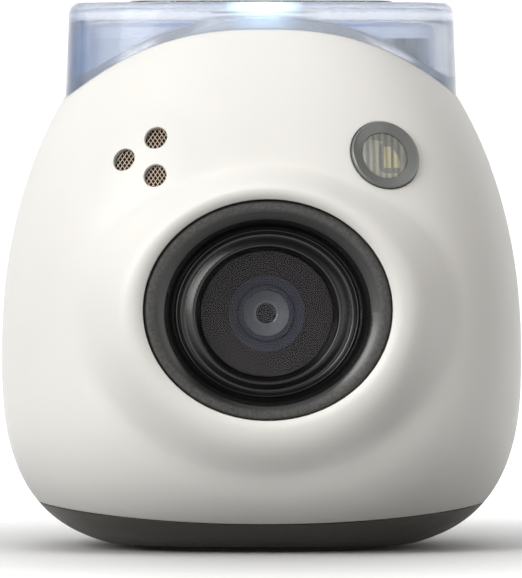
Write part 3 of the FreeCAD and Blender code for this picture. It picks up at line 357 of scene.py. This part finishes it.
LOOKS = {
    "front_shell": shell,
    "rear_shell": shell,
    "base_cover": base,
    "foot_plate": foot,
    "tripod_bush": brass,
    "usb_c_shell": steel,
    "usb_c_tongue": black,
    "card_socket": steel,
    "card_board": pcb,
    "power_button": ring_grey,
    "power_switch": black,
    "base_board": pcb,
    "base_screws": screws,
    "lens_bezel": bezel,
    "cover_glass": cover,
    "glass_mask": mask,
    "lens_barrel": barrel,
    "lens_ring": cone,
    "front_lens": eye,
    "aperture_ring": silver,
    "rear_lens": eye,
    "ir_filter": element,
    "sensor_holder": black,
    "image_sensor": sensor,
    "sensor_board": pcb,
    "sensor_flex": flex,
    "flash_bezel": flash_rim,
    "flash_window": lens,
    "flash_reflector": cup_painted_glow,
    "flash_leds": led_yellow_painted_glow,
    "flash_board": pcb,
    "speaker_mesh": mesh,
    "speaker_gasket": gasket,
    "speaker": black,
    "light_cap": clear,
    "top_plate": top_plate,
    "light_tray": tray,
    "light_board": pcb,
    "light_leds": led_blue,
    "light_diffuser": diffuser_painted_glow,
    "light_posts": steel,
    "inner_frame": frame_grey,
    "frame_screws": screws,
    "main_board": pcb,
    "board_chips": chip,
    "shield_can": steel,
    "flex_socket": black,
    "battery": battery,
    "battery_connector": black,
    "shutter_ring": ring_grey,
    "shutter_button": button,
    "shutter_switch": black,
    "shutter_board": pcb,
    "board_screws": screws,
    "shutter_spring": spring,
}
for name, node in NODES.items():
    node.data.materials.clear()
    node.data.materials.append(LOOKS[name].material)


# Studio: floor, lights and camera


def paper(name, corners):
    """Flat studio sheet that is seen but throws no light back on the object."""
    outline = bpy.data.meshes.new(name)
    outline.from_pydata(corners, [], [tuple(range(len(corners)))])
    sheet = bpy.data.objects.new(name, outline)
    bpy.context.scene.collection.objects.link(sheet)
    look = moulded(name + "Paper", (0.62, 0.62, 0.62), 0.8, grain=2.0, height=0.01, spread=0.004)
    look.body.inputs["Emission Color"].default_value = (1, 1, 1, 1)
    away = look.math("MULTIPLY", look.axis("X"), 1.6)
    squares = look.math("ADD", look.math("POWER", away, 2), look.math("POWER", look.axis("Y"), 2))
    far = look.range(look.math("SQRT", squares), 0.0, 1.0, 22, 105)
    look.link(far, look.body.inputs["Emission Strength"])
    outline.materials.append(look.material)
    sheet.visible_diffuse = False
    return sheet


def softbox(name, spot, target, width, height, power, color=(1, 1, 1)):
    lamp = bpy.data.lights.new(name, "AREA")
    lamp.shape = "RECTANGLE"
    lamp.size, lamp.size_y = width, height
    lamp.energy = power
    lamp.color = color
    holder = bpy.data.objects.new(name, lamp)
    bpy.context.scene.collection.objects.link(holder)
    holder.location = spot
    holder.rotation_euler = (Vector(target) - Vector(spot)).to_track_quat("-Z", "Y").to_euler()
    return holder


def studio_world():
    """Even light, stronger from above than from below."""
    world = bpy.data.worlds.new("StudioWorld")
    bpy.context.scene.world = world
    world.use_nodes = True
    sky = world.node_tree
    heading = sky.nodes.new("ShaderNodeTexCoord")
    split = sky.nodes.new("ShaderNodeSeparateXYZ")
    level = sky.nodes.new("ShaderNodeMapRange")
    level.inputs["From Min"].default_value = -1.0
    level.inputs["To Min"].default_value = 0.03
    level.inputs["To Max"].default_value = 0.40
    sky.links.new(heading.outputs["Generated"], split.inputs[0])
    sky.links.new(split.outputs["Z"], level.inputs["Value"])
    sky.links.new(level.outputs[0], sky.nodes["Background"].inputs["Strength"])
    sky.nodes["Background"].inputs["Color"].default_value = (1.0, 0.99, 0.975, 1)


def studio_camera():
    """Long lens, a little to the left of the object and above it."""
    lens_data = bpy.data.cameras.new("Camera")
    camera = bpy.data.objects.new("Camera", lens_data)
    bpy.context.scene.collection.objects.link(camera)
    lens_data.lens = CAMERA_LENS_MM
    lens_data.sensor_width = SENSOR_WIDTH_MM
    lens_data.clip_start, lens_data.clip_end = 0.05, 10
    camera.location = CAMERA_SPOT
    camera.rotation_euler = (Vector(CAMERA_AIM) - camera.location).to_track_quat("-Z", "Y").to_euler()
    bpy.context.scene.camera = camera


floor_corners = [
    (-FLOOR_REACH, FLOOR_FRONT, FLOOR_LEVEL),
    (FLOOR_REACH, FLOOR_FRONT, FLOOR_LEVEL),
    (FLOOR_REACH, WALL_BEHIND, FLOOR_LEVEL),
    (-FLOOR_REACH, WALL_BEHIND, FLOOR_LEVEL),
]
wall_corners = [
    (-FLOOR_REACH, WALL_BEHIND, FLOOR_LEVEL),
    (FLOOR_REACH, WALL_BEHIND, FLOOR_LEVEL),
    (FLOOR_REACH, WALL_BEHIND, WALL_TOP),
    (-FLOOR_REACH, WALL_BEHIND, WALL_TOP),
]
paper("StudioFloor", floor_corners)
paper("StudioWall", wall_corners)
softbox("KeyLeft", (-0.60, -0.58, 0.34), MIDDLE, 0.5, 0.6, 7.2, (1.0, 0.995, 0.975))
softbox("TopFill", (-0.14, -0.16, 0.75), MIDDLE, 0.7, 0.7, 1.4)
softbox("RightFill", (0.62, -0.36, 0.16), MIDDLE, 0.5, 0.6, 1.6, (1.0, 0.975, 0.945))
studio_world()
studio_camera()
bpy.context.scene.view_settings.view_transform = "Standard"
